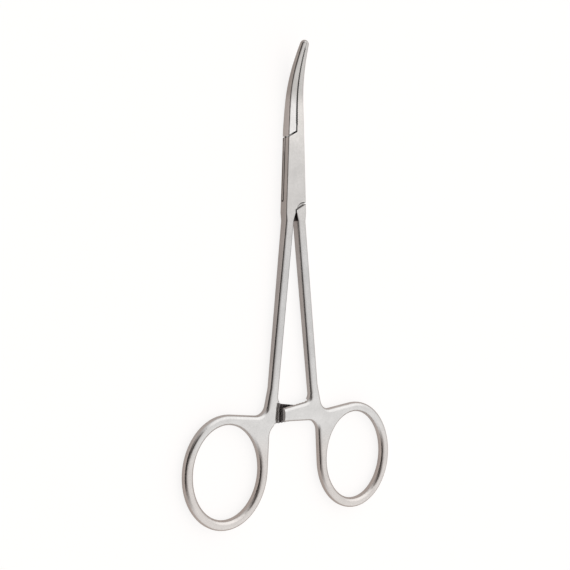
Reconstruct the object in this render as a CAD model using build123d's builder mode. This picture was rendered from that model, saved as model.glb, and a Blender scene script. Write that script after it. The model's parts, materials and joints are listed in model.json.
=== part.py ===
from build123d import *
import os
from math import acos, atan2, cos, degrees, hypot, radians, sin, tan

# Mosquito forceps, curved pattern, with a box lock, finger rings and a ratchet.
# They lie flat with the front face up: X runs across them, Y towards the jaw
# tips and Z up. The origin is under the middle of the whole instrument.
# All sizes are in millimetres.

# Whole instrument
overall_length = 125.0        # foot of the finger rings to the jaw tips
pivot_to_tip = 33.4           # pivot to the jaw tips, along Y
box_thickness = 3.0           # thickest part, its back face lies on the ground

# Finger rings
ring_length = 29.1            # outside, along Y
ring_width = 24.6             # outside, across X
ring_limb = 2.6               # width of the bent limb, in plan
ring_inner_x = 8.3            # inner side of each ring from the middle line
handle_thickness = 2.7        # of the rings and of the shanks
edge_round = 1.2              # rounding along the rings and the webs

# Shanks, rounded bars between the box and the rings
shank_foot_x = 6.3            # middle of the shank where it meets the web
shank_foot_rise = 7.3         # height of that place over the bars' middle
shank_foot_width = 2.85
neck_length = 2.2             # short taper under the box
neck_gap = 0.6                # inner side of the neck, from the middle line
neck_inset = 0.05             # outer side of the neck, inside the box's side
neck_thickness = 2.95
neck_round = 0.65

# Web between the shank and the ring
web_corner_inset = 1.6        # where its top edge starts, outwards of the shank
web_corner_rise = 0.2         # over the bars' middle
web_fillet = 2.9

# Ratchet bars between the shanks
ratchet_rise = 13.05          # ring's middle to the middle of the bars
bar_end_x = 3.3               # how far a bar passes the middle line
bar_end_height = 3.6
bar_root_rise = 3.15          # top edge at the shank, over the bar's middle
bar_root_drop = 2.3           # lower edge at the ring, under the bar's middle
bar_root_inset = 0.6          # root of the lower edge, inwards of the ring's side
bar_top_fillet = 2.0
bar_bottom_fillet = 3.2
relief_inset = 0.85           # the halved thickness reaches this far into the shank
relief_rise = 0.35            # and this far over the root of the bar's top edge
ratchet_pitch = 1.0
ratchet_depth = 0.42
ratchet_teeth = 9
ratchet_play = 0.05           # tooth tips of each bar from the middle plane

# Box lock: two plates of one half, with the tongue of the other half between
box_width_low = 6.46          # across the lower end of the box
box_width_high = 4.96         # across the upper end of the box
box_edge_round = 0.35
step_reach = 10.0             # pivot to the step lines, on the middle line
step_margin = 1.0             # step lines to the ends of the box, on the middle line
step_angle = 30.0             # slant of the step lines
step_gap = 0.34               # open joint between a plate and a shoulder
shoulder_chamfer = 0.12
rear_plate = 0.45             # thickness of the plate behind the tongue
slot_height = 1.1
slot_play = 0.04              # over and under the tongue
slot_end_gap = 0.14           # at both ends of the tongue
slot_end_round = 0.38
tongue_chamfer = 0.3          # along the tongue's sides
relief_radius = 2.35          # shallow hollow where the plate meets the shoulder
relief_bulge = 0.7
relief_depth = 0.28
crotch_gap = 0.1              # each shank's root from the middle line

# Pivot pin, riveted and ground flush
pin_diameter = 2.0
pin_play = 0.03               # radial, in the tongue
rivet_head = 2.6              # diameter of the spread ends
rivet_head_depth = 0.3

# Jaws: straight at the root, then curved up towards the front face
jaw_straight = 3.4            # end of the box to the start of the curve
jaw_bend_radius = 36.0
jaw_bend_height = 2.85        # height of the section where the curve starts
jaw_bend_lift = 0.12          # middle of that section over the middle of the box
jaw_bend_width = 2.35         # from the middle line to the outer side
jaw_tip_height = 1.65
jaw_tip_width = 1.18
jaw_taper_power = 1.3         # over 1, the sides bulge between curve and tip
jaw_root_round = 0.4
jaw_tip_round = 0.72
jaw_root_gap = 0.2            # each jaw's inner face from the middle line
jaw_tip_gap = 0.03
jaw_stations = 4              # cross-sections along the curve
tip_passes = 8                # repeats that settle the lean of the tip

# Serration across the jaws' inner faces
serration_pitch = 0.6
serration_width = 0.5
serration_depth = 0.22
serration_overcut = 0.055     # the cutting profile starts this far outside the face
serration_margin = 1.2        # end of the box to the first groove

# Derived places
middle_z = box_thickness / 2
handle_bottom = middle_z - handle_thickness / 2
pivot_y = overall_length / 2 - pivot_to_tip
box_reach = step_reach + step_margin
root_y = pivot_y - box_reach
jaw_root_y = pivot_y + box_reach
ring_x = ring_inner_x + ring_width / 2
ring_y = -overall_length / 2 + ring_length / 2
ratchet_y = ring_y + ratchet_rise
ratchet_reach = pivot_y - ratchet_y
foot_y = ratchet_y + shank_foot_rise
curve_start = box_reach + jaw_straight
step_slope = tan(radians(step_angle))
pivot_axis = Axis((0, pivot_y, 0), (0, 0, 1))
long_axis = Axis((0, 0, middle_z), (0, 1, 0))


def cross_plane(y):
    """An upright plane across the instrument, at a height y."""
    return Plane(origin=(0, y, middle_z), x_dir=(1, 0, 0), z_dir=(0, 1, 0))


def box_side(y):
    """Half the width of the box at a height y: its sides taper evenly."""
    share = (y - root_y) / (2 * box_reach)
    return (box_width_low + share * (box_width_high - box_width_low)) / 2


def step_line(x, end, shift=0.0):
    """Height at x of a step line, which rises to the right; end is 1 above the pivot."""
    return pivot_y + end * (step_reach + shift) + x * step_slope


def slot_line(x, end, shift=0.0):
    """Height at x of an end of the slot, which falls to the right."""
    return pivot_y + end * (step_reach + shift) - x * step_slope


def ring_tangent(x, y, turn):
    """Angle at which a line from (x, y) touches the ring's outer ellipse."""
    across = (x - ring_x) / (ring_width / 2)
    along = (y - ring_y) / (ring_length / 2)
    angle = atan2(along, across) + turn * acos(1 / hypot(across, along))
    return degrees(angle) % 360


def ring_point(angle):
    """A point on the ring's outer ellipse."""
    x = ring_x + ring_width / 2 * cos(radians(angle))
    y = ring_y + ring_length / 2 * sin(radians(angle))
    return (x, y)


# Tapered bar with rounded edges, which the plates and shoulders of the box are cut from
cut_x = box_width_low         # cutting outlines reach this far, well past its sides
with BuildPart() as box_bar:
    with BuildSketch():
        Polygon(
            (-box_width_low / 2, root_y),
            (box_width_low / 2, root_y),
            (box_width_high / 2, jaw_root_y),
            (-box_width_high / 2, jaw_root_y),
            align=None,
        )
    extrude(amount=box_thickness)
    side_faces = box_bar.faces().sort_by(Axis.X)
    side_edges = side_faces[0].edges() + side_faces[-1].edges()
    fillet(side_edges.filter_by(Axis.Z, reverse=True), box_edge_round)

# Right half of the bar: its ends carry the right shank and the right jaw
with BuildPart() as shank_stub:
    add(box_bar.part)
    split(bisect_by=Plane.YZ.offset(crotch_gap))
    inner_face = shank_stub.faces().sort_by(Axis.X)[0]
    fillet(inner_face.edges().filter_by(Axis.Y), box_edge_round)
with BuildPart() as jaw_stub:
    add(box_bar.part)
    split(bisect_by=Plane.YZ)

# Middle line of the right shank, from the web up to the neck under the box
neck_y = root_y - neck_length
neck_outer_x = box_side(root_y) - neck_inset
neck_middle_x = (neck_gap + neck_outer_x) / 2
shank_lean = (shank_foot_x - neck_middle_x) / (neck_y - foot_y)


def shank_middle(y):
    """The straight middle line of the right shank at a height y."""
    return shank_foot_x - (y - foot_y) * shank_lean


# Thickest section of the right shank, just under the box
with BuildSketch(cross_plane(neck_y)) as neck:
    with Locations((neck_middle_x, 0)):
        RectangleRounded(neck_outer_x - neck_gap, neck_thickness, neck_round)

# Outline of the right handle, in plan
shank_inner_x = shank_foot_x - shank_foot_width / 2
shank_outer_x = shank_foot_x + shank_foot_width / 2
bar_root_x = shank_middle(ratchet_y + bar_root_rise) - shank_foot_width / 2
bar_top_end = (-bar_end_x, ratchet_y + bar_end_height / 2)
bar_low_end = (-bar_end_x, ratchet_y - bar_end_height / 2)
bar_top_root = (bar_root_x, ratchet_y + bar_root_rise)
bar_low_root = (ring_inner_x - bar_root_inset, ratchet_y - bar_root_drop)
web_corner = (shank_outer_x + web_corner_inset, ratchet_y + web_corner_rise)
web_touch = ring_tangent(*web_corner, -1)
limb_touch = ring_tangent(*bar_low_root, 1)

# The rear half of the bar is cut away up to a line that points at the pivot
relief_slope = (bar_root_x + relief_inset) / (pivot_y - ratchet_y - bar_root_rise)
relief_high = bar_top_root[1] + relief_rise
relief_low = bar_low_root[1] - bar_bottom_fillet / 2
relief_end_x = -2 * bar_end_x
tooth_turn = degrees(ratchet_pitch / ratchet_reach)
first_tooth = 270 + degrees(atan2(relief_slope, 1))

# One gap between two ratchet teeth: a steep side and a long slope
with BuildPart() as ratchet_gap:
    with BuildSketch(Plane.YZ):
        Polygon(
            (0, -ratchet_play),
            (0, 0),
            (-ratchet_pitch, ratchet_depth),
            (-ratchet_pitch, -ratchet_play),
            align=None,
        )
    extrude(amount=bar_root_rise, both=True)

# Handle of the right half: ring, web, ratchet bar and shank
with BuildPart() as right_handle:
    with BuildSketch(Plane.XY.offset(handle_bottom)):
        with BuildLine():
            FilletPolyline(
                bar_top_end, bar_top_root, (shank_inner_x, foot_y), radius=bar_top_fillet
            )
            Line((shank_inner_x, foot_y), (shank_outer_x, foot_y))
            FilletPolyline(
                (shank_outer_x, foot_y), web_corner, ring_point(web_touch), radius=web_fillet
            )
            EllipticalCenterArc(
                (ring_x, ring_y),
                ring_width / 2,
                ring_length / 2,
                start_angle=limb_touch,
                arc_size=(web_touch - limb_touch) % 360,
            )
            FilletPolyline(
                ring_point(limb_touch), bar_low_root, bar_low_end, radius=bar_bottom_fillet
            )
            Line(bar_low_end, bar_top_end)
        make_face()
        with Locations((ring_x, ring_y)):
            Ellipse(ring_width / 2 - ring_limb, ring_length / 2 - ring_limb, mode=Mode.SUBTRACT)
    extrude(amount=handle_thickness)
    foot_face = right_handle.faces().filter_by(Axis.Y).sort_by(Axis.Y)[-1]
    bar_face = right_handle.faces().filter_by(Axis.X).sort_by(Axis.X)[0]
    rims = right_handle.faces().filter_by(Axis.Z).edges()
    fillet(rims - foot_face.edges() - bar_face.edges(), edge_round)

    # The rounded shank grows from the web's end face and squares up at the box
    foot_face = right_handle.faces().filter_by(Axis.Y).sort_by(Axis.Y)[-1]
    loft(sections=[foot_face, neck.sketch, shank_stub.faces().sort_by(Axis.Y)[0]], ruled=True)

    # Halved bar with its teeth
    with BuildSketch(Plane.XY.offset(handle_bottom - ratchet_play)):
        Polygon(
            (relief_slope * (pivot_y - relief_high), relief_high),
            (relief_slope * (pivot_y - relief_low), relief_low),
            (relief_end_x, relief_low),
            (relief_end_x, relief_high),
            align=None,
        )
    extrude(amount=handle_thickness / 2 + 2 * ratchet_play, mode=Mode.SUBTRACT)
    with Locations((0, pivot_y, middle_z + ratchet_play)):
        with PolarLocations(
            ratchet_reach,
            ratchet_teeth,
            start_angle=first_tooth,
            angular_range=-ratchet_teeth * tooth_turn,
        ):
            add(ratchet_gap.part, mode=Mode.SUBTRACT)


def jaw_path(distance):
    """Place and lean of the jaw's middle line, at a distance from the pivot along it."""
    if distance < curve_start:
        return distance, 0.0, 0.0
    lean = (distance - curve_start) / jaw_bend_radius
    along = curve_start + jaw_bend_radius * sin(lean)
    return along, jaw_bend_radius * (1 - cos(lean)), lean


def between(start, finish, share):
    """A value part of the way from start to finish."""
    return start + (finish - start) * share


def jaw_gap(along):
    """Distance of a jaw's inner face from the middle line."""
    share = (along - box_reach) / (pivot_to_tip - box_reach)
    return between(jaw_root_gap, jaw_tip_gap, share)


# The rounded tip reaches past the last section, and ends at the full length
tip_lean = 0.0
for _ in range(tip_passes):
    tip_reach = (
        (jaw_tip_width - jaw_tip_round) * cos(tip_lean)
        + (jaw_tip_height / 2 - jaw_tip_round) * sin(tip_lean)
        + jaw_tip_round
    )
    bend_share = (pivot_to_tip - tip_reach - curve_start) / jaw_bend_radius
    tip_lean = atan2(bend_share, (1 - bend_share**2) ** 0.5)
jaw_length = curve_start + jaw_bend_radius * tip_lean


def jaw_section(distance):
    """Right jaw's cross-section, from the middle line to its rounded outer side."""
    along, rise, lean = jaw_path(distance)
    share = (distance - curve_start) / (jaw_length - curve_start)
    height = between(jaw_bend_height, jaw_tip_height, share)
    outer = between(jaw_bend_width, jaw_tip_width, share**jaw_taper_power)
    lift = between(jaw_bend_lift, 0.0, share)
    plane = Plane(
        origin=(0, pivot_y + along, middle_z + rise + lift),
        x_dir=(1, 0, 0),
        z_dir=(0, cos(lean), sin(lean)),
    )
    with BuildSketch(plane) as section:
        with Locations((outer / 2, 0)):
            Rectangle(outer, height)
        corners = section.vertices().group_by(Axis.X)[-1]
        fillet(corners, between(jaw_root_round, jaw_tip_round, share))
    return section.sketch


# Blank of the right jaw, without serration
station_step = (jaw_length - curve_start) / (jaw_stations - 1)
jaw_distances = [curve_start + station * station_step for station in range(jaw_stations)]
with BuildPart() as jaw_blank:
    root_face = jaw_stub.faces().sort_by(Axis.Y)[-1]
    loft(sections=[root_face, *map(jaw_section, jaw_distances)])
    tip_along, tip_rise, _ = jaw_path(jaw_length)
    tip_axis = Axis(
        (0, pivot_y + tip_along, middle_z + tip_rise), (0, -sin(tip_lean), cos(tip_lean))
    )
    tip_face = jaw_blank.faces().sort_by(Axis.Y)[-1]
    revolve(tip_face, axis=tip_axis, revolution_arc=90)
    with BuildSketch():
        Polygon(
            (-jaw_root_gap, jaw_root_y),
            (jaw_root_gap, jaw_root_y),
            (jaw_tip_gap, overall_length / 2),
            (-jaw_root_gap, overall_length / 2),
            align=None,
        )
    extrude(amount=2 * pivot_to_tip, both=True, mode=Mode.SUBTRACT)


def groove_planes(hand, offset):
    """Planes for the grooves of one jaw: local X points into the jaw."""
    planes = []
    first = box_reach + serration_margin
    count = int((jaw_length - first) / serration_pitch)
    for groove in range(count):
        along, rise, lean = jaw_path(first + (groove + offset) * serration_pitch)
        planes.append(
            Plane(
                origin=(hand * jaw_gap(along), pivot_y + along, middle_z + rise),
                x_dir=(hand, 0, 0),
                z_dir=(0, -sin(lean), cos(lean)),
            )
        )
    return planes


def serration(planes):
    """V-shaped profiles of the grooves, one on each plane."""
    half_mouth = serration_width / 2 * (1 + serration_overcut / serration_depth)
    with BuildSketch(*planes) as grooves:
        Polygon(
            (-serration_overcut, -half_mouth),
            (serration_depth, 0),
            (-serration_overcut, half_mouth),
            align=None,
        )
    return grooves.sketch


# Pivot pin, with both ends spread into the plates
with BuildPart() as pivot_pin:
    with BuildSketch(Plane.XZ.offset(-pivot_y)):
        Polygon(
            (0, 0),
            (rivet_head / 2, 0),
            (pin_diameter / 2, rivet_head_depth),
            (pin_diameter / 2, box_thickness - rivet_head_depth),
            (rivet_head / 2, box_thickness),
            (0, box_thickness),
            align=None,
        )
    revolve(axis=pivot_axis)

# Box half: left handle, the two plates with the slot between them, right jaw
with BuildPart() as box_half:
    add(box_bar.part)
    with BuildSketch():
        Polygon(
            (jaw_root_gap, jaw_root_y),
            (jaw_root_gap, step_line(jaw_root_gap, 1)),
            (-cut_x, step_line(-cut_x, 1)),
            (-cut_x, root_y),
            (-crotch_gap, root_y),
            (-crotch_gap, step_line(-crotch_gap, -1)),
            (cut_x, step_line(cut_x, -1)),
            (cut_x, jaw_root_y),
            align=None,
        )
    extrude(amount=box_thickness, mode=Mode.INTERSECT)
    fillet(box_half.edges().filter_by(Axis.Y).group_by(Axis.X)[0], box_edge_round)
    with BuildSketch(Plane.XY.offset(rear_plate)):
        Polygon(
            (-cut_x, slot_line(-cut_x, -1)),
            (cut_x, slot_line(cut_x, -1)),
            (cut_x, slot_line(cut_x, 1)),
            (-cut_x, slot_line(-cut_x, 1)),
            align=None,
        )
    extrude(amount=slot_height, mode=Mode.SUBTRACT)
    slot_corners = box_half.edges().filter_by(Axis((0, 0, 0), (1, -step_slope, 0)))
    fillet(slot_corners, slot_end_round)
    relief_x = box_side(root_y) / 2 + (relief_radius - relief_bulge) * sin(radians(step_angle))
    relief_y = step_line(box_side(root_y) / 2, -1)
    relief_y -= (relief_radius - relief_bulge) * cos(radians(step_angle))
    with Locations((relief_x, relief_y, box_thickness - relief_depth / 2)):
        Cone(relief_radius - relief_depth, relief_radius, relief_depth, mode=Mode.SUBTRACT)
    add(pivot_pin.part, mode=Mode.SUBTRACT)
    add(right_handle.part.rotate(long_axis, 180))
    add(jaw_blank.part)
    extrude(serration(groove_planes(1, 0.0)), amount=box_thickness, both=True, mode=Mode.SUBTRACT)

# Tongue, a flat bar with rounded ends that fills the slot
tongue_shift = -slot_end_gap / cos(radians(step_angle))
with BuildPart() as tongue:
    with BuildSketch(Plane.XY.offset(rear_plate + slot_play)):
        Polygon(
            (-cut_x, slot_line(-cut_x, -1, tongue_shift)),
            (crotch_gap, slot_line(crotch_gap, -1, tongue_shift)),
            (crotch_gap, root_y),
            (cut_x, root_y),
            (cut_x, slot_line(cut_x, 1, tongue_shift)),
            (-jaw_root_gap, slot_line(-jaw_root_gap, 1, tongue_shift)),
            (-jaw_root_gap, jaw_root_y),
            (-cut_x, jaw_root_y),
            align=None,
        )
    extrude(amount=slot_height - 2 * slot_play)
    tongue_ends = tongue.edges().filter_by(Axis((0, 0, 0), (1, -step_slope, 0)))
    fillet(tongue_ends, slot_end_round + slot_play)
    add(box_bar.part, mode=Mode.INTERSECT)
    tongue_top = tongue.faces().sort_by(Axis.Z)[-1].edges().sort_by(Axis.X)
    chamfer([tongue_top[0], tongue_top[-1]], tongue_chamfer)

# Tongue half: right handle, the tongue with its two shoulders, left jaw
shoulder_shift = step_gap / cos(radians(step_angle))
with BuildPart() as tongue_half:
    with BuildSketch():
        Polygon(
            (crotch_gap, root_y),
            (cut_x, root_y),
            (cut_x, step_line(cut_x, -1, shoulder_shift)),
            (crotch_gap, step_line(crotch_gap, -1, shoulder_shift)),
            align=None,
        )
        Polygon(
            (-jaw_root_gap, jaw_root_y),
            (-jaw_root_gap, step_line(-jaw_root_gap, 1, shoulder_shift)),
            (-cut_x, step_line(-cut_x, 1, shoulder_shift)),
            (-cut_x, jaw_root_y),
            align=None,
        )
    extrude(amount=box_thickness)
    step_edges = tongue_half.edges().filter_by(Axis((0, 0, 0), (1, step_slope, 0)))
    chamfer(step_edges, shoulder_chamfer)
    add(tongue.part)
    add(box_bar.part, mode=Mode.INTERSECT)
    with Locations((0, pivot_y, box_thickness)):
        Hole(pin_diameter / 2 + pin_play)
    add(right_handle.part)
    add(mirror(jaw_blank.part, about=Plane.YZ, mode=Mode.PRIVATE))
    extrude(serration(groove_planes(-1, 0.5)), amount=box_thickness, both=True, mode=Mode.SUBTRACT)

os.makedirs("parts", exist_ok=True)

box_half.part.label = "box_half"
export_step(box_half.part, "parts/box_half.step")

tongue_half.part.label = "tongue_half"
export_step(tongue_half.part, "parts/tongue_half.step")

pivot_pin.part.label = "pivot_pin"
export_step(pivot_pin.part, "parts/pivot_pin.step")
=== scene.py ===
"""Curved mosquito forceps of satin steel, lying closed on a pale floor with their tips curving up."""

import json
from math import cos, pi, radians

import bmesh
import bpy
import numpy as np
from bpy.props import FloatProperty, FloatVectorProperty, PointerProperty
from bpy.types import Operator, Panel, PropertyGroup
from mathutils import Matrix, Vector
from mathutils.bvhtree import BVHTree

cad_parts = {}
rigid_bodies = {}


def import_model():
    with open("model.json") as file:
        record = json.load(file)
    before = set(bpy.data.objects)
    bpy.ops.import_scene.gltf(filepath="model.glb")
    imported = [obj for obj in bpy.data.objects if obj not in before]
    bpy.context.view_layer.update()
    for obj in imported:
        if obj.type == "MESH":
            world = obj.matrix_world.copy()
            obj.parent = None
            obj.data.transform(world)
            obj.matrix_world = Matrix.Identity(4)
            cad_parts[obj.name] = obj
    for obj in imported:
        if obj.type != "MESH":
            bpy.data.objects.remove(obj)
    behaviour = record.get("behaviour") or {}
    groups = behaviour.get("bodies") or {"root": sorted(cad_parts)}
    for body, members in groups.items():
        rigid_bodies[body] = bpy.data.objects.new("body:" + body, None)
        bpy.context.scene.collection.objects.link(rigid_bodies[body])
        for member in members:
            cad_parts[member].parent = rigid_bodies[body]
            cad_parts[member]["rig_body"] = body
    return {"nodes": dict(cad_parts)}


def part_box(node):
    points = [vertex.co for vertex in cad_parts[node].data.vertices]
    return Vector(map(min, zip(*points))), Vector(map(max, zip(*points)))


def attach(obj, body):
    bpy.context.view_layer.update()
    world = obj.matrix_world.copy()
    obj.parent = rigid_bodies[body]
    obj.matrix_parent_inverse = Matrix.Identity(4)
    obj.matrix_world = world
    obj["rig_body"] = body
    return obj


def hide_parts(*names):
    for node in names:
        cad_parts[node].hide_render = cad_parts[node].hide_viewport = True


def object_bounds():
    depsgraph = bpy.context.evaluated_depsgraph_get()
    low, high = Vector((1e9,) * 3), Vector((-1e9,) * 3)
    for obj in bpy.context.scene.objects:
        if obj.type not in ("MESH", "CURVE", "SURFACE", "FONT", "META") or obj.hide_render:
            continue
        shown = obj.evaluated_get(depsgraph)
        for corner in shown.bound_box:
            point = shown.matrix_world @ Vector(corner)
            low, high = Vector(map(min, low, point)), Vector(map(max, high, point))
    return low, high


bl_info = {
    "name": "Mosquito Forceps",
    "version": (1, 0, 0),
    "blender": (4, 5, 0),
    "location": "3D View > Sidebar > Forceps",
    "description": "Builds a pair of curved mosquito forceps round its packed solids",
    "category": "Add Mesh",
}

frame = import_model()
CAD_BOX = [list(corner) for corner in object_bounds()]

# Lengths are in metres unless a comment says otherwise, as they are in the frame

# Where the photograph's camera stands, its axes right, up and back, and its lens in millimetres
CAMERA_PLACE = (-0.13757, 0.00194, 0.19436)
CAMERA_RIGHT = (0.81933, 0.00232, 0.57332)
CAMERA_UP = (0.00503, 0.99992, -0.01125)
CAMERA_BACK = (-0.57330, 0.01210, 0.81926)
SENSOR_WIDTH = 36.0
FOCAL_LENGTH = 56.73

# The studio's soft panels and dark flags: axis, degrees off it at which each one ends, light added
STUDIO_PANELS = (
    ((-0.84, 0.09, 0.53), 66.0, -0.57),
    ((-0.20, 0.13, -0.97), 114.0, -0.50),
    ((-0.98, 0.00, 0.17), 36.0, -0.45),
    ((0.47, 0.69, 0.56), 46.0, 0.44),
    ((0.46, -0.67, 0.59), 69.0, 0.18),
    ((-0.44, 0.01, 0.90), 26.0, 0.38),
    ((-0.43, 0.38, 0.82), 27.0, -0.34),
)
DARKEST_LEVEL = 0.05
WHITE = (1.0, 1.0, 1.0, 1.0)

# The floor's points along a side, and the share of its white that the steel reflects
FLOOR_POINTS = 9
FLOOR_REFLECTED = 0.43

# Heights of the rings' foot, of the pivot and of the jaws' tips
FOOT_Y = CAD_BOX[0][1]
PIVOT_Y = sum(corner[1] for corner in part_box("pivot_pin")) / 2
TIPS_Y = CAD_BOX[1][1]

# Heights, from low to high, over which one region's tone turns into the next one's
WEB_START = (FOOT_Y + 0.0155, FOOT_Y + 0.0245)
SHANK_START = (PIVOT_Y - 0.0591, PIVOT_Y - 0.0471)
BOX_START = (PIVOT_Y - 0.0231, PIVOT_Y - 0.0091)
BOX_JAW_START = (PIVOT_Y + 0.0009, PIVOT_Y + 0.0129)
TONGUE_JAW_START = (PIVOT_Y + 0.0044, PIVOT_Y + 0.0054)
TIP_START = (TIPS_Y - 0.0170, TIPS_Y - 0.0120)

# Heights over which the painted shade on the ratchet's teeth turns into the lock's painted shade
LOCK_SHADE_START = (PIVOT_Y - 0.0591, PIVOT_Y - 0.0261)

# Where the steel gets no painted shade: each pair goes from where the painted shade is whole to where
# there is none, at both ends of the shanks, at both ends of the slot, and in the slot down towards
# its floor
SHANK_LOW_END = (PIVOT_Y - 0.0609, PIVOT_Y - 0.0596)
SHANK_HIGH_END = (PIVOT_Y - 0.0191, PIVOT_Y - 0.0261)
SLOT_LOW_END = (PIVOT_Y - 0.0086, PIVOT_Y - 0.0076)
SLOT_HIGH_END = (PIVOT_Y + 0.0084, PIVOT_Y + 0.0074)
SLOT_FLOOR_TOP = (0.0011, 0.0008)

# Painted shade starts and is full at these blocked shares of the space before a face. Faces above the
# largest area, in square metres, get no painted shade: they slide on each other and are worn bright
SHADE_RAMP = (0.05, 0.26)
LARGEST_SHADED_FACE = 3e-5
RAY_COUNT = 32
RAY_START = 3e-6              # off the face, so that a ray doesn't meet its own face

# Merging of the solids' loose triangles
JOIN_DISTANCE = 1e-7
FLAT_ANGLE = radians(0.4)     # facets that meet at less are one flat face

# Pivot pin, whose front head is ground over the rim of its hole
HEAD_DEPTH = 0.0003           # of both spread ends
SHAFT_SHARE = 0.77            # the shaft's width as a share of the heads'
HEAD_CHAMFER = 0.00002
HEAD_OVERLAP = 0.00004        # how far the front head reaches over the rim
HEAD_RISE = 0.000003          # how far it stands proud of the box
RIM_DEPTH = 0.000001          # how far its thin rim is set into the box
PIN_JOIN_DISTANCE = 1e-8
PIN_TURNS = 97                # points round the pin, the first one repeated

# Clouds and smudges in the blasted finish
CLOUDS_PER_METRE = 260.0
SMUDGE_RANGE = (0.3, 0.7)     # of the clouds' noise
SMUDGE_TONES = (0.93, 1.05)   # factors on the colour at its ends

# What every colour setting shares
COLOUR = {"subtype": "COLOR", "size": 3, "min": 0.0, "max": 1.0}


# Settings


class SteelSettings(PropertyGroup):
    """Colours and finish of the steel, and the painted shade in its recesses."""

    ring_colour: FloatVectorProperty(
        name="Ring colour",
        description="Steel of the finger rings",
        default=(0.715, 0.672, 0.643),
        **COLOUR,
    )
    web_colour: FloatVectorProperty(
        name="Web colour",
        description="Steel of the webs and of the ratchet bars",
        default=(0.73, 0.715, 0.70),
        **COLOUR,
    )
    shank_colour: FloatVectorProperty(
        name="Shank colour",
        description="Steel of the shanks",
        default=(0.645, 0.632, 0.622),
        **COLOUR,
    )
    box_colour: FloatVectorProperty(
        name="Box colour",
        description="Steel of the box lock",
        default=(0.640, 0.618, 0.600),
        **COLOUR,
    )
    tongue_jaw_colour: FloatVectorProperty(
        name="Left jaw colour",
        description="Brighter steel of the jaw that belongs to the tongue",
        default=(0.79, 0.77, 0.755),
        **COLOUR,
    )
    box_jaw_colour: FloatVectorProperty(
        name="Right jaw colour",
        description="Steel of the jaw that belongs to the box",
        default=(0.735, 0.705, 0.678),
        **COLOUR,
    )
    tip_colour: FloatVectorProperty(
        name="Tip colour",
        description="Steel of both jaws near their tips",
        default=(0.60, 0.575, 0.555),
        **COLOUR,
    )
    # Painted shade: a dark colour laid in the gaps of the lock and in the right jaw's grooves, where
    # faces are blocked
    recess_shade_colour: FloatVectorProperty(
        name="Recess colour",
        description="Tarnished steel in the gaps of the lock and in the right jaw's grooves",
        default=(0.105, 0.095, 0.09),
        **COLOUR,
    )
    # Painted shade in the left jaw's grooves, lighter than in the right jaw because these grooves
    # catch more light
    groove_shade_colour: FloatVectorProperty(
        name="Left groove colour",
        description="Grooves of the jaw that belongs to the tongue, which catch more light",
        default=(0.36, 0.34, 0.33),
        **COLOUR,
    )
    # Painted shade on the ratchet's teeth, where they are blocked by the other half
    tooth_shade_colour: FloatVectorProperty(
        name="Tooth colour",
        description="Tarnished steel of the ratchet's teeth",
        default=(0.29, 0.27, 0.265),
        **COLOUR,
    )
    # Painted shade darkens the faces that are blocked within this reach
    recess_reach: FloatProperty(
        name="Recess reach",
        description="Faces that are blocked within this distance are tarnished",
        unit="LENGTH",
        min=0.0,
        max=0.01,
        default=0.0012,
        precision=4,
    )
    roughness: FloatProperty(
        name="Roughness",
        description="How much the satin finish spreads a reflection",
        subtype="FACTOR",
        min=0.0,
        max=1.0,
        default=0.19,
    )
    grain_size: FloatProperty(
        name="Grain size",
        description="Size of the blasted grain",
        unit="LENGTH",
        min=0.00002,
        max=0.002,
        default=0.00014,
        precision=5,
    )
    grain_depth: FloatProperty(
        name="Grain depth",
        description="Depth of the blasted grain",
        unit="LENGTH",
        min=0.0,
        max=0.0001,
        default=0.0000035,
        precision=6,
    )
    smooth_angle: FloatProperty(
        name="Smooth up to",
        description="Facets that meet at less than this angle are one rounding",
        subtype="ANGLE",
        min=0.0,
        max=radians(90),
        default=radians(35),
    )


class StageSettings(PropertyGroup):
    """Floor and light."""

    floor_size: FloatProperty(
        name="Floor size",
        description="Width and length of the floor",
        unit="LENGTH",
        min=0.3,
        max=20.0,
        default=4.0,
    )
    floor_colour: FloatVectorProperty(
        name="Floor colour",
        description="Colour of the floor under the lamps",
        default=(0.26, 0.235, 0.22),
        **COLOUR,
    )
    floor_white: FloatProperty(
        name="Floor white",
        description="Light that the floor adds so that it shows as white",
        min=0.0,
        max=2.0,
        default=0.82,
    )
    sky_strength: FloatProperty(
        name="Studio light",
        description="Strength of the soft light from all round",
        min=0.0,
        max=4.0,
        default=1.0,
    )
    sky_level: FloatProperty(
        name="Even light",
        description="Light between the soft panels and the dark flags",
        min=0.0,
        max=2.0,
        default=0.8,
    )
    flag_colour: FloatVectorProperty(
        name="Flag colour",
        description="Tint of the light that the dark flags give back",
        default=(1.0, 0.905, 0.865),
        **COLOUR,
    )


# Shader nodes


def add_node(tree, kind, inputs=None, **fields):
    """A new node with its fields and the values or links of its inputs."""
    node = tree.nodes.new(kind)
    for field, value in fields.items():
        setattr(node, field, value)
    for key, value in (inputs or {}).items():
        if isinstance(value, bpy.types.NodeSocket):
            tree.links.new(value, node.inputs[key])
        else:
            node.inputs[key].default_value = value
    return node


def calculate(tree, operation, *values):
    """The result of a math operation on numbers or sockets."""
    node = add_node(tree, "ShaderNodeMath", dict(enumerate(values)), operation=operation)
    return node.outputs[0]


def blend_along(tree, value, start, end):
    """Rises smoothly from 0 to 1 as the value goes from start to end, whichever is higher."""
    node = add_node(
        tree,
        "ShaderNodeMapRange",
        {"Value": value, "From Min": start, "From Max": end},
        interpolation_type="SMOOTHSTEP",
    )
    return node.outputs["Result"]


def within(tree, value, low_end, high_end):
    """1 between two places and 0 outside them, with soft ends."""
    low = blend_along(tree, value, *low_end)
    high = blend_along(tree, value, *high_end)
    return calculate(tree, "MULTIPLY", low, high)


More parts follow.
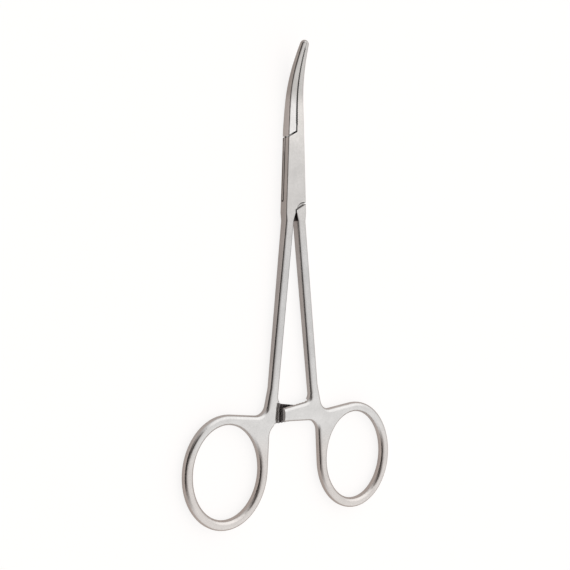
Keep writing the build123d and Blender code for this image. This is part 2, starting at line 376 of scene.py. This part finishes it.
def mix_colours(tree, factor, low, high, blend="MIX"):
    """Two colours mixed by a factor. A Mix node has colours at inputs 6 and 7 and at output 2."""
    node = add_node(
        tree,
        "ShaderNodeMix",
        {0: factor, 6: low, 7: high},
        data_type="RGBA",
        blend_type=blend,
    )
    return node.outputs[2]


def opaque(colour):
    """A colour with full alpha."""
    return (*colour, 1.0)


def add_group(name, inputs, outputs):
    """An empty node group with named inputs (name, kind, default) and outputs (name, kind)."""
    group = bpy.data.node_groups.new(name, "ShaderNodeTree")
    for socket_name, kind, value in inputs:
        socket = group.interface.new_socket(socket_name, in_out="INPUT", socket_type=kind)
        if value is not None:
            socket.default_value = value
    for socket_name, kind in outputs:
        group.interface.new_socket(socket_name, in_out="OUTPUT", socket_type=kind)
    return group, group.nodes.new("NodeGroupInput"), group.nodes.new("NodeGroupOutput")


def satin_grain():
    """Blasted grain: its height, broad soft clouds, and a roughness that wanders with them."""
    name = "Satin grain"
    if name in bpy.data.node_groups:
        return bpy.data.node_groups[name]
    group, source, result = add_group(
        name,
        [
            ("Vector", "NodeSocketVector", None),
            ("Grain size", "NodeSocketFloat", 0.00014),
            ("Roughness", "NodeSocketFloat", 0.3),
            ("Spread", "NodeSocketFloat", 0.08),
        ],
        [
            ("Height", "NodeSocketFloat"),
            ("Roughness", "NodeSocketFloat"),
            ("Clouds", "NodeSocketFloat"),
        ],
    )
    given = source.outputs
    grain = add_node(
        group,
        "ShaderNodeTexNoise",
        {
            "Vector": given["Vector"],
            "Scale": calculate(group, "DIVIDE", 1.0, given["Grain size"]),
            "Detail": 3.0,
        },
    )
    clouds = add_node(
        group,
        "ShaderNodeTexNoise",
        {
            "Vector": given["Vector"],
            "Scale": CLOUDS_PER_METRE,
            "Detail": 4.0,
            "Roughness": 0.6,
        },
    )
    wander = calculate(group, "SUBTRACT", clouds.outputs["Fac"], 0.5)
    rough = calculate(group, "MULTIPLY_ADD", wander, given["Spread"], given["Roughness"])
    group.links.new(grain.outputs["Fac"], result.inputs["Height"])
    group.links.new(rough, result.inputs["Roughness"])
    group.links.new(clouds.outputs["Fac"], result.inputs["Clouds"])
    return group


def satin_specks():
    """Faint dark and bright specks left by the blasting, as factors round 1."""
    name = "Satin specks"
    if name in bpy.data.node_groups:
        return bpy.data.node_groups[name]
    group, source, result = add_group(
        name,
        [
            ("Vector", "NodeSocketVector", None),
            ("Speck size", "NodeSocketFloat", 0.00035),
            ("Amount", "NodeSocketFloat", 0.13),
        ],
        [("Tone", "NodeSocketFloat")],
    )
    given = source.outputs
    specks = add_node(
        group,
        "ShaderNodeTexNoise",
        {
            "Vector": given["Vector"],
            "Scale": calculate(group, "DIVIDE", 1.0, given["Speck size"]),
            "Detail": 2.0,
            "Roughness": 0.8,
        },
    )
    centred = calculate(group, "SUBTRACT", specks.outputs["Fac"], 0.5)
    doubled = calculate(group, "MULTIPLY", centred, 2.0)
    tone = calculate(group, "MULTIPLY_ADD", doubled, given["Amount"], 1.0)
    group.links.new(tone, result.inputs["Tone"])
    return group


def region_colours(tree, height, jaw_colour, jaw_start):
    """The steel's tone along the instrument, from the rings to the tips."""
    steel = bpy.context.scene.forceps_steel
    colour = opaque(steel.ring_colour)
    for start, tone in (
        (WEB_START, steel.web_colour),
        (SHANK_START, steel.shank_colour),
        (BOX_START, steel.box_colour),
        (jaw_start, jaw_colour),
        (TIP_START, steel.tip_colour),
    ):
        colour = mix_colours(tree, blend_along(tree, height, *start), colour, opaque(tone))
    return colour


def finish_tone(tree, clouds, specks):
    """A grey to multiply the colour by: soft smudges, as wide as the clouds, times the specks."""
    smudge = add_node(
        tree,
        "ShaderNodeMapRange",
        {
            "Value": clouds,
            "From Min": SMUDGE_RANGE[0],
            "From Max": SMUDGE_RANGE[1],
            "To Min": SMUDGE_TONES[0],
            "To Max": SMUDGE_TONES[1],
        },
    )
    tone = calculate(tree, "MULTIPLY", specks, smudge.outputs["Result"])
    return add_node(tree, "ShaderNodeCombineColor", {0: tone, 1: tone, 2: tone}).outputs[0]


def shade_share(tree, axes):
    """How much painted shade darkens the steel: more in recesses, but not on the shanks or the slot's
    floor.
    """
    recess = add_node(tree, "ShaderNodeAttribute", attribute_name="recess").outputs["Fac"]
    shank = within(tree, axes["Y"], SHANK_LOW_END, SHANK_HIGH_END)
    slot = within(tree, axes["Y"], SLOT_LOW_END, SLOT_HIGH_END)
    slot_floor = calculate(
        tree, "MULTIPLY", slot, blend_along(tree, axes["Z"], *SLOT_FLOOR_TOP)
    )
    bright = calculate(tree, "MAXIMUM", shank, slot_floor)
    kept = calculate(tree, "SUBTRACT", 1.0, bright)
    return calculate(tree, "MULTIPLY", blend_along(tree, recess, *SHADE_RAMP), kept)


def satin_steel(name, jaw_colour, groove_shade_colour, jaw_start):
    """Satin steel: a tone for each region, with grain, clouds and specks, and painted shade in
    recesses and gaps.
    """
    steel = bpy.context.scene.forceps_steel
    material = bpy.data.materials.new(name)
    material.use_nodes = True
    tree = material.node_tree
    tree.nodes.clear()
    place = add_node(tree, "ShaderNodeTexCoord").outputs["Object"]
    axes = add_node(tree, "ShaderNodeSeparateXYZ", {"Vector": place}).outputs
    height = axes["Y"]
    grain = add_node(
        tree,
        "ShaderNodeGroup",
        {"Vector": place, "Grain size": steel.grain_size, "Roughness": steel.roughness},
        node_tree=satin_grain(),
    )
    specks = add_node(tree, "ShaderNodeGroup", {"Vector": place}, node_tree=satin_specks())
    grey = finish_tone(tree, grain.outputs["Clouds"], specks.outputs["Tone"])
    colour = region_colours(tree, height, jaw_colour, jaw_start)
    colour = mix_colours(tree, 1.0, colour, grey, "MULTIPLY")
    # Painted shade: darker colours for the ratchet's teeth, the lock's gaps and the jaws' grooves,
    # laid where a face is blocked
    painted_shade = mix_colours(
        tree,
        blend_along(tree, height, *LOCK_SHADE_START),
        opaque(steel.tooth_shade_colour),
        opaque(steel.recess_shade_colour),
    )
    to_jaw = blend_along(tree, height, *jaw_start)
    painted_shade = mix_colours(tree, to_jaw, painted_shade, opaque(groove_shade_colour))
    colour = mix_colours(tree, shade_share(tree, axes), colour, painted_shade)
    bump = add_node(
        tree,
        "ShaderNodeBump",
        {"Height": grain.outputs["Height"], "Distance": steel.grain_depth, "Strength": 1.0},
    )
    shader = add_node(
        tree,
        "ShaderNodeBsdfPrincipled",
        {
            "Base Color": colour,
            "Metallic": 1.0,
            "Roughness": grain.outputs["Roughness"],
            "Normal": bump.outputs["Normal"],
        },
    )
    add_node(tree, "ShaderNodeOutputMaterial", {"Surface": shader.outputs["BSDF"]})
    return material


# Meshes


def surroundings():
    """A search tree over both closed halves."""
    points, faces = [], []
    for node in ("box_half", "tongue_half"):
        mesh = frame["nodes"][node].data
        first = len(points)
        points += [vertex.co.copy() for vertex in mesh.vertices]
        faces += [[first + index for index in face.vertices] for face in mesh.polygons]
    return BVHTree.FromPolygons(points, faces)


def mark_recesses(mesh):
    """Stores on each face how much of the space before it is blocked nearby, from 0 to 1.

    The share is counted over rays in a golden-angle spiral, at the heights z = sqrt(1 - u) of a
    cosine-weighted half sphere about the face's normal, and they reach as far as recess_reach.
    """
    steel = bpy.context.scene.forceps_steel
    tree = surroundings()
    step = (np.arange(RAY_COUNT) + 0.5) / RAY_COUNT
    turn = np.arange(RAY_COUNT) * pi * (3.0 - 5.0**0.5)
    rays = np.stack(
        [np.sqrt(step) * np.cos(turn), np.sqrt(step) * np.sin(turn), np.sqrt(1.0 - step)], axis=-1
    )
    values = np.zeros(len(mesh.polygons), dtype=np.float32)
    for face in mesh.polygons:
        if face.area >= LARGEST_SHADED_FACE:
            continue
        aim = face.normal.to_track_quat("Z", "Y").to_matrix()
        start = face.center + face.normal * RAY_START
        around = rays @ np.array(aim).T
        blocked = sum(
            tree.ray_cast(start, Vector(ray), steel.recess_reach)[0] is not None for ray in around
        )
        values[face.index] = blocked / RAY_COUNT
    # The blocked share sets how much painted shade darkens the face's colour
    marks = mesh.attributes.new("recess", "FLOAT", "FACE")
    marks.data.foreach_set("value", values)


def finished_copy(node, name, material):
    """A copy of a solid's mesh with its flat facets joined up, smooth across its roundings."""
    steel = bpy.context.scene.forceps_steel
    mesh = bpy.data.meshes.new(name)
    joined = bmesh.new()
    joined.from_mesh(frame["nodes"][node].data)
    bmesh.ops.remove_doubles(joined, verts=joined.verts, dist=JOIN_DISTANCE)
    bmesh.ops.dissolve_limit(
        joined, angle_limit=FLAT_ANGLE, verts=joined.verts, edges=joined.edges
    )
    joined.normal_update()
    for face in joined.faces:
        face.smooth = True
    for edge in joined.edges:
        pair = len(edge.link_faces) == 2
        edge.smooth = pair and edge.calc_face_angle(pi) < steel.smooth_angle
    joined.to_mesh(mesh)
    joined.free()
    mesh.materials.clear()
    mesh.materials.append(material)
    mark_recesses(mesh)
    piece = bpy.data.objects.new(name, mesh)
    bpy.context.scene.collection.objects.link(piece)
    weighted = piece.modifiers.new("Flat faces stay flat", "WEIGHTED_NORMAL")
    weighted.mode = "FACE_AREA"
    weighted.keep_sharp = True
    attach(piece, frame["nodes"][node]["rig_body"])
    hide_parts(node)
    return piece


def grid_mesh(name, points):
    """A mesh over a grid of points, an array of rows by columns by 3."""
    rows, columns = points.shape[:2]
    index = np.arange(rows * columns).reshape(rows, columns)
    faces = np.stack(
        [index[:-1, :-1], index[:-1, 1:], index[1:, 1:], index[1:, :-1]], axis=-1
    ).reshape(-1, 4)
    mesh = bpy.data.meshes.new(name)
    mesh.from_pydata(points.reshape(-1, 3).tolist(), [], faces.tolist())
    mesh.update()
    return mesh


def riveted_pin(name, material):
    """The pivot pin with its two ground heads, as a surface of revolution.

    A point is (x + r cos t, y + r sin t, z) for each (r, z) of the profile and each turn t, where
    the front head is wider than its hole by HEAD_OVERLAP and stands proud by HEAD_RISE.
    """
    low, high = (np.array(corner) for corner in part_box("pivot_pin"))
    middle = (low + high) / 2
    head = (high[0] - low[0]) / 2
    shaft = SHAFT_SHARE * head
    back, front = low[2], high[2]
    profile = np.array(
        [
            (0.0, back),
            (head - HEAD_CHAMFER, back),
            (head, back + HEAD_CHAMFER),
            (head, back + HEAD_DEPTH),
            (shaft, back + HEAD_DEPTH),
            (shaft, front - HEAD_DEPTH),
            (head, front - HEAD_DEPTH),
            (head, front - HEAD_CHAMFER),
            (head + HEAD_OVERLAP, front - RIM_DEPTH),
            (head, front + HEAD_RISE),
            (head - HEAD_CHAMFER, front + HEAD_RISE),
            (0.0, front + HEAD_RISE),
        ]
    )
    turns = np.linspace(0.0, 2 * pi, PIN_TURNS)
    radius, height = profile[:, 0][:, None], profile[:, 1][:, None]
    points = np.stack(
        [
            middle[0] + radius * np.cos(turns),
            middle[1] + radius * np.sin(turns),
            height + np.zeros_like(turns),
        ],
        axis=-1,
    )
    mesh = grid_mesh(name, points)
    joined = bmesh.new()
    joined.from_mesh(mesh)
    bmesh.ops.remove_doubles(joined, verts=joined.verts, dist=PIN_JOIN_DISTANCE)
    bmesh.ops.recalc_face_normals(joined, faces=joined.faces)
    joined.to_mesh(mesh)
    joined.free()
    mesh.materials.append(material)
    mesh.shade_smooth()
    mesh.set_sharp_from_angle(angle=bpy.context.scene.forceps_steel.smooth_angle)
    piece = bpy.data.objects.new(name, mesh)
    bpy.context.scene.collection.objects.link(piece)
    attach(piece, frame["nodes"]["pivot_pin"]["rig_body"])
    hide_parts("pivot_pin")
    return piece


# Stage


def add_floor():
    """A flat square floor, white to the camera and pale to the lamps."""
    stage = bpy.context.scene.forceps_stage
    reach = np.linspace(-stage.floor_size / 2, stage.floor_size / 2, FLOOR_POINTS)
    across, along = np.meshgrid(reach, reach)
    mesh = grid_mesh("floor", np.stack([across, along, np.zeros_like(across)], axis=-1))
    floor = bpy.data.objects.new("floor", mesh)
    bpy.context.scene.collection.objects.link(floor)
    material = bpy.data.materials.new("pale_floor")
    material.use_nodes = True
    tree = material.node_tree
    tree.nodes.clear()
    matt = add_node(
        tree,
        "ShaderNodeBsdfPrincipled",
        {"Base Color": opaque(stage.floor_colour), "Roughness": 0.9, "Specular IOR Level": 0.1},
    )
    rays = add_node(tree, "ShaderNodeLightPath").outputs
    glossy = calculate(tree, "ADD", rays["Is Glossy Ray"], rays["Is Transmission Ray"])
    seen = calculate(tree, "MULTIPLY_ADD", glossy, FLOOR_REFLECTED, rays["Is Camera Ray"])
    strength = calculate(tree, "MULTIPLY", seen, stage.floor_white)
    warmth = mix_colours(tree, glossy, WHITE, opaque(stage.flag_colour))
    glow = add_node(tree, "ShaderNodeEmission", {"Color": warmth, "Strength": strength})
    both = add_node(
        tree, "ShaderNodeAddShader", {0: matt.outputs["BSDF"], 1: glow.outputs["Emission"]}
    )
    add_node(tree, "ShaderNodeOutputMaterial", {"Surface": both.outputs[0]})
    mesh.materials.append(material)


def toward(tree, direction, axis, edge):
    """Rises smoothly from 0 at edge degrees off an axis to 1 on the axis."""
    turn = add_node(
        tree, "ShaderNodeVectorMath", {0: direction, 1: axis}, operation="DOT_PRODUCT"
    )
    return blend_along(tree, turn.outputs["Value"], cos(radians(edge)), 1.0)


def add_studio_light():
    """Soft light from all round, with brighter panels and a warm unlit side on the left."""
    stage = bpy.context.scene.forceps_stage
    world = bpy.data.worlds.new("studio")
    bpy.context.scene.world = world
    world.use_nodes = True
    tree = world.node_tree
    tree.nodes.clear()
    direction = add_node(tree, "ShaderNodeTexCoord").outputs["Generated"]
    level = stage.sky_level
    for axis, edge, light in STUDIO_PANELS:
        panel = toward(tree, direction, axis, edge)
        level = calculate(tree, "MULTIPLY_ADD", panel, light, level)
    level = calculate(tree, "MAXIMUM", level, DARKEST_LEVEL)
    lightness = blend_along(tree, level, DARKEST_LEVEL, stage.sky_level)
    tint = mix_colours(tree, lightness, opaque(stage.flag_colour), WHITE)
    strength = calculate(tree, "MULTIPLY", level, stage.sky_strength)
    rays = add_node(tree, "ShaderNodeLightPath").outputs
    lit = add_node(tree, "ShaderNodeBackground", {"Color": tint, "Strength": strength})
    white = add_node(tree, "ShaderNodeBackground", {"Color": WHITE})
    mixed = add_node(
        tree,
        "ShaderNodeMixShader",
        {0: rays["Is Camera Ray"], 1: lit.outputs[0], 2: white.outputs[0]},
    )
    add_node(tree, "ShaderNodeOutputWorld", {"Surface": mixed.outputs[0]})


def add_camera():
    """The photograph's camera."""
    lens = bpy.data.cameras.new("camera")
    lens.sensor_width = SENSOR_WIDTH
    lens.lens = FOCAL_LENGTH
    lens.clip_start = 0.01
    lens.clip_end = 20.0
    camera = bpy.data.objects.new("camera", lens)
    bpy.context.scene.collection.objects.link(camera)
    turn = Matrix((CAMERA_RIGHT, CAMERA_UP, CAMERA_BACK)).transposed().to_4x4()
    camera.matrix_world = Matrix.Translation(CAMERA_PLACE) @ turn
    bpy.context.scene.camera = camera


# Operators


class FORCEPS_OT_box_half(Operator):
    """Finish the half with the box: left ring and shank, box plates and right jaw"""

    bl_idname = "forceps.box_half"
    bl_label = "Box half"

    def execute(self, context):
        steel = context.scene.forceps_steel
        material = satin_steel(
            "satin_steel_box_half", steel.box_jaw_colour, steel.recess_shade_colour, BOX_JAW_START
        )
        finished_copy("box_half", "box_half_finish", material)
        return {"FINISHED"}


class FORCEPS_OT_tongue_half(Operator):
    """Finish the half with the tongue: right ring and shank, tongue and left jaw"""

    bl_idname = "forceps.tongue_half"
    bl_label = "Tongue half"

    def execute(self, context):
        steel = context.scene.forceps_steel
        material = satin_steel(
            "satin_steel_tongue_half",
            steel.tongue_jaw_colour,
            steel.groove_shade_colour,
            TONGUE_JAW_START,
        )
        finished_copy("tongue_half", "tongue_half_finish", material)
        return {"FINISHED"}


class FORCEPS_OT_pivot_pin(Operator):
    """Finish the riveted pivot pin, ground flush with the box"""

    bl_idname = "forceps.pivot_pin"
    bl_label = "Pivot pin"

    def execute(self, context):
        steel = context.scene.forceps_steel
        material = satin_steel(
            "satin_steel_pin", steel.box_jaw_colour, steel.recess_shade_colour, BOX_JAW_START
        )
        riveted_pin("pivot_pin_finish", material)
        return {"FINISHED"}


class FORCEPS_OT_stage(Operator):
    """Add the floor, the studio light and the camera"""

    bl_idname = "forceps.stage"
    bl_label = "Stage"

    def execute(self, context):
        add_floor()
        add_studio_light()
        add_camera()
        context.scene.view_settings.view_transform = "Standard"
        return {"FINISHED"}


class FORCEPS_PT_sidebar(Panel):
    """Lists the settings and the pieces"""

    bl_idname = "FORCEPS_PT_sidebar"
    bl_label = "Mosquito Forceps"
    bl_space_type = "VIEW_3D"
    bl_region_type = "UI"
    bl_category = "Forceps"

    def draw(self, context):
        layout = self.layout
        for settings in (context.scene.forceps_steel, context.scene.forceps_stage):
            box = layout.box()
            for key in settings.__annotations__:
                box.prop(settings, key)
        for operator in OPERATORS:
            layout.operator(operator.bl_idname)


SETTINGS = {"forceps_steel": SteelSettings, "forceps_stage": StageSettings}
OPERATORS = (
    FORCEPS_OT_box_half,
    FORCEPS_OT_tongue_half,
    FORCEPS_OT_pivot_pin,
    FORCEPS_OT_stage,
)


def register():
    for name, settings in SETTINGS.items():
        bpy.utils.register_class(settings)
        setattr(bpy.types.Scene, name, PointerProperty(type=settings))
    for cls in (*OPERATORS, FORCEPS_PT_sidebar):
        bpy.utils.register_class(cls)


def unregister():
    for cls in reversed((*OPERATORS, FORCEPS_PT_sidebar)):
        bpy.utils.unregister_class(cls)
    for name, settings in SETTINGS.items():
        delattr(bpy.types.Scene, name)
        bpy.utils.unregister_class(settings)


def main():
    """Registers the add-on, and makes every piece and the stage."""
    register()
    bpy.ops.forceps.box_half()
    bpy.ops.forceps.tongue_half()
    bpy.ops.forceps.pivot_pin()
    bpy.ops.forceps.stage()


if __name__ == "__main__":
    main()
